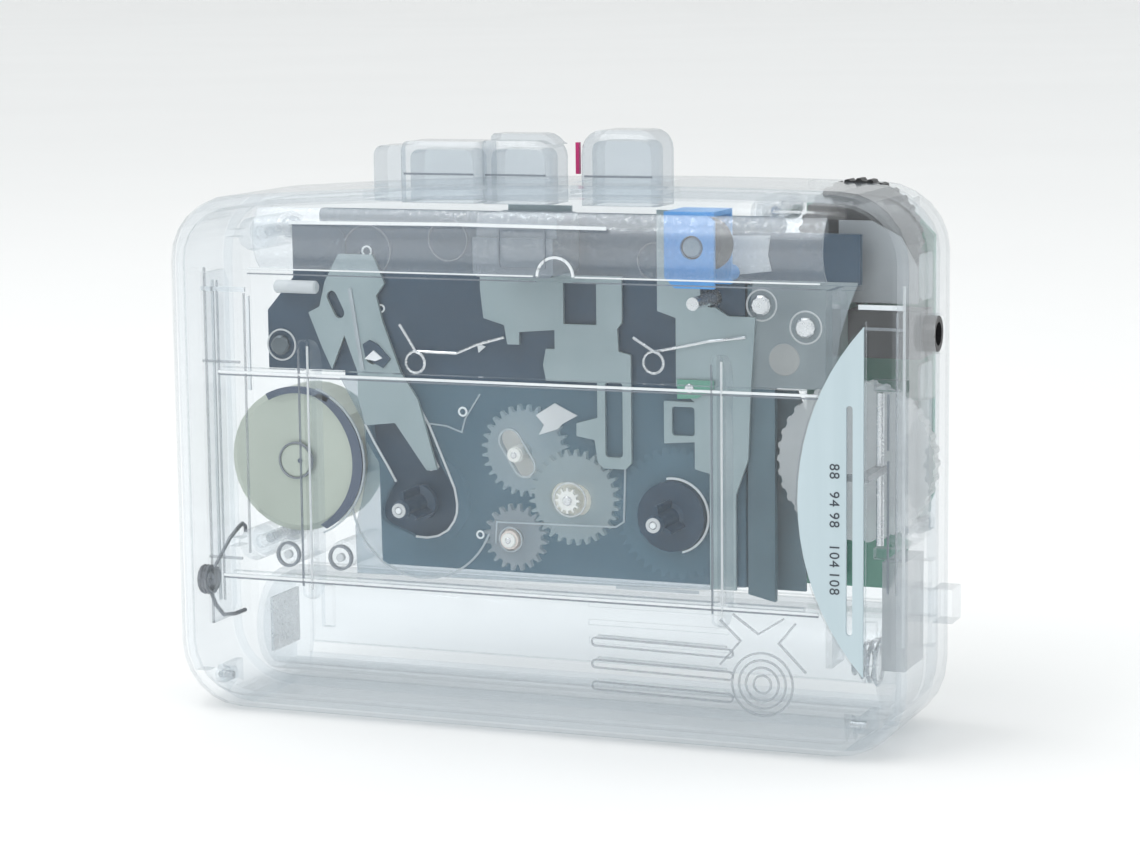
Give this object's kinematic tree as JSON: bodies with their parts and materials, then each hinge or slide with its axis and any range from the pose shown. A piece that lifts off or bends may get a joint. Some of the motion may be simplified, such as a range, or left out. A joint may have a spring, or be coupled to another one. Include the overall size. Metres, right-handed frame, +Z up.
{
  "type": "portable cassette player",
  "caption": "Pocket cassette player with radio dial in clear plastic, with a hinged front door, push keys, thumbwheels and a visible tape mechanism.",
  "frame": {"origin": "middle of the flat underside that the player stands on", "axes": "+X to the right along the front, +Y from the front door to the back, +Z up"},
  "size_m": [0.1234, 0.033, 0.0923],
  "materials": {
    "clear_plastic": "clear, glossy, faint cool tint",
    "frosted_plastic": "milky, satin",
    "smoked_plastic": "smoked blue-grey, satin",
    "dark_plastic": "blue-black, satin",
    "black_plastic": "black, satin",
    "nylon": "milky nylon",
    "silver_panel": "pale silver-blue film",
    "sheet_steel": "dull zinc-plated sheet",
    "bright_steel": "polished",
    "motor_steel": "satin plated can",
    "brass": "turned",
    "rubber": "matt black",
    "blue_plastic": "bright blue",
    "magenta_plastic": "magenta-red",
    "circuit_board": "green solder mask"
  },
  "bodies": {
    "case": {"main_frame": "clear_plastic", "rear_cover": "clear_plastic", "battery_tray": "clear_plastic", "side_chassis": "frosted_plastic", "tuning_capacitor": "frosted_plastic", "chassis_plate": "smoked_plastic", "upper_chassis": "dark_plastic", "headphone_jack": "black_plastic", "amplifier_chip": "black_plastic", "capacitor_1": "black_plastic", "capacitor_2": "black_plastic", "band_switch_body": "sheet_steel", "volume_pot": "sheet_steel", "battery_contact_plate": "bright_steel", "battery_spring": "bright_steel", "door_spring": "bright_steel", "play_spring": "bright_steel", "stop_spring": "bright_steel", "pointer_guide_rod": "bright_steel", "chassis_screw_1": "bright_steel", "chassis_screw_2": "bright_steel", "chassis_screw_3": "bright_steel", "rear_screw_1": "bright_steel", "rear_screw_2": "bright_steel", "rear_screw_3": "bright_steel", "rear_screw_4": "bright_steel", "motor": "motor_steel", "drive_belt": "rubber", "main_board": "circuit_board"},
    "door": {"front_door": "clear_plastic", "dial_panel": "silver_panel", "hinge_pin_left": "bright_steel", "hinge_pin_right": "bright_steel"},
    "play": {"play_key": "clear_plastic", "head_plate": "sheet_steel", "playback_head": "bright_steel"},
    "pinch_arm": {"pinch_arm": "blue_plastic", "pinch_roller_pin": "bright_steel"},
    "pinch_roller": {"pinch_roller": "rubber"},
    "fast_forward": {"fast_forward_key": "clear_plastic"},
    "fast_forward_lever": {"fast_forward_lever": "sheet_steel"},
    "stop": {"stop_key": "clear_plastic", "stop_key_marker": "magenta_plastic", "stop_slide": "sheet_steel"},
    "volume": {"volume_wheel": "black_plastic"},
    "tuning": {"tuning_wheel": "frosted_plastic"},
    "tuning_pointer": {"tuning_pointer": "magenta_plastic"},
    "band_switch": {"band_switch_knob": "clear_plastic"},
    "battery_door": {"battery_door": "clear_plastic"},
    "flywheel": {"flywheel": "bright_steel", "capstan": "bright_steel"},
    "motor_pulley": {"motor_pulley": "brass"},
    "drive_gear": {"drive_gear": "nylon", "drive_pulley": "black_plastic"},
    "idler_gear": {"idler_gear": "nylon"},
    "fast_gear": {"fast_gear": "nylon"},
    "take_up_reel": {"take_up_spindle": "dark_plastic", "take_up_gear": "smoked_plastic"},
    "supply_reel": {"supply_spindle": "dark_plastic"},
    "brake_arm": {"brake_arm": "dark_plastic"}
  },
  "joints": [
    {"name": "door_hinge", "type": "hinge", "parent": "case", "child": "door", "pos_m": [0, -0.0115, 0.005], "axis": [1, 0, 0], "range_deg": [0, 30]},
    {"name": "play_slide", "type": "slide", "parent": "case", "child": "play", "axis": [0, 0, 1], "range_m": [-0.0035, 0], "stiffness_N_per_m": 500, "springref_m": 0.002},
    {"name": "pinch_arm_pivot", "type": "hinge", "parent": "play", "child": "pinch_arm", "pos_m": [0.0292, -0.0065, 0.0708], "axis": [0, 1, 0], "range_deg": [-4, 0], "stiffness_Nm_per_rad": 0.01, "springref_deg": 11.46},
    {"name": "pinch_roller_spin", "type": "hinge", "parent": "pinch_arm", "child": "pinch_roller", "pos_m": [0.0269, -0.0075, 0.0755], "axis": [0, 1, 0], "continuous": true},
    {"name": "fast_forward_slide", "type": "slide", "parent": "case", "child": "fast_forward", "axis": [0, 0, 1], "range_m": [-0.003, 0], "stiffness_N_per_m": 400, "springref_m": 0.002},
    {"name": "fast_forward_lever_pivot", "type": "hinge", "parent": "case", "child": "fast_forward_lever", "pos_m": [-0.0312, 0.0005, 0.0559], "axis": [0, 1, 0], "range_deg": [-4.1, 0]},
    {"name": "stop_slide_travel", "type": "slide", "parent": "case", "child": "stop", "axis": [0, 0, 1], "range_m": [-0.003, 0], "stiffness_N_per_m": 500, "springref_m": 0.002},
    {"name": "volume_turn", "type": "hinge", "parent": "case", "child": "volume", "pos_m": [0.047, 0.0085, 0.0752], "axis": [0, 1, 0], "range_deg": [-150, 150]},
    {"name": "tuning_turn", "type": "hinge", "parent": "case", "child": "tuning", "pos_m": [0.0485, 0.0022, 0.0425], "axis": [0, 1, 0], "range_deg": [-90, 90]},
    {"name": "tuning_pointer_slide", "type": "slide", "parent": "case", "child": "tuning_pointer", "axis": [0, 0, 1], "range_m": [-0.0112, 0.0112]},
    {"name": "band_switch_slide", "type": "slide", "parent": "case", "child": "band_switch", "axis": [0, 0, 1], "range_m": [-0.004, 0.004]},
    {"name": "battery_door_slide", "type": "slide", "parent": "case", "child": "battery_door", "axis": [0, 0, 1], "range_m": [-0.004, 0]},
    {"name": "flywheel_spin", "type": "hinge", "parent": "case", "child": "flywheel", "pos_m": [0.0258, 0.0125, 0.0667], "axis": [0, 1, 0], "continuous": true},
    {"name": "motor_pulley_spin", "type": "hinge", "parent": "case", "child": "motor_pulley", "pos_m": [-0.046, 0.0125, 0.0382], "axis": [0, 1, 0], "continuous": true},
    {"name": "drive_gear_spin", "type": "hinge", "parent": "case", "child": "drive_gear", "pos_m": [-0.00703, 0.0045, 0.04102], "axis": [0, 1, 0], "continuous": true},
    {"name": "idler_gear_spin", "type": "hinge", "parent": "case", "child": "idler_gear", "pos_m": [0.00193, 0.0035, 0.03422], "axis": [0, 1, 0], "continuous": true},
    {"name": "fast_gear_spin", "type": "hinge", "parent": "case", "child": "fast_gear", "pos_m": [-0.00818, 0.0035, 0.0273], "axis": [0, 1, 0], "continuous": true},
    {"name": "take_up_reel_spin", "type": "hinge", "parent": "case", "child": "take_up_reel", "pos_m": [0.0191, -0.0015, 0.0326], "axis": [0, 1, 0], "continuous": true},
    {"name": "supply_reel_spin", "type": "hinge", "parent": "case", "child": "supply_reel", "pos_m": [-0.0234, -0.0015, 0.0326], "axis": [0, 1, 0], "continuous": true},
    {"name": "brake_arm_pivot", "type": "hinge", "parent": "case", "child": "brake_arm", "pos_m": [-0.0234, 0.0032, 0.0326], "axis": [0, 1, 0], "range_deg": [0, 4], "stiffness_Nm_per_rad": 0.002, "springref_deg": -5.73}
  ],
  "couplings": [
    {"joint": "motor_pulley_spin", "follows": "flywheel_spin", "ratio": 3.8846},
    {"joint": "drive_gear_spin", "follows": "flywheel_spin", "ratio": 2.02},
    {"joint": "idler_gear_spin", "follows": "flywheel_spin", "ratio": -3.3271},
    {"joint": "fast_gear_spin", "follows": "flywheel_spin", "ratio": 4.8242},
    {"joint": "take_up_reel_spin", "follows": "flywheel_spin", "ratio": 2.4121},
    {"joint": "fast_forward_lever_pivot", "follows": "fast_forward_slide", "rad_per_m": 23.271},
    {"joint": "tuning_pointer_slide", "follows": "tuning_turn", "m_per_rad": -0.0070028}
  ]
}
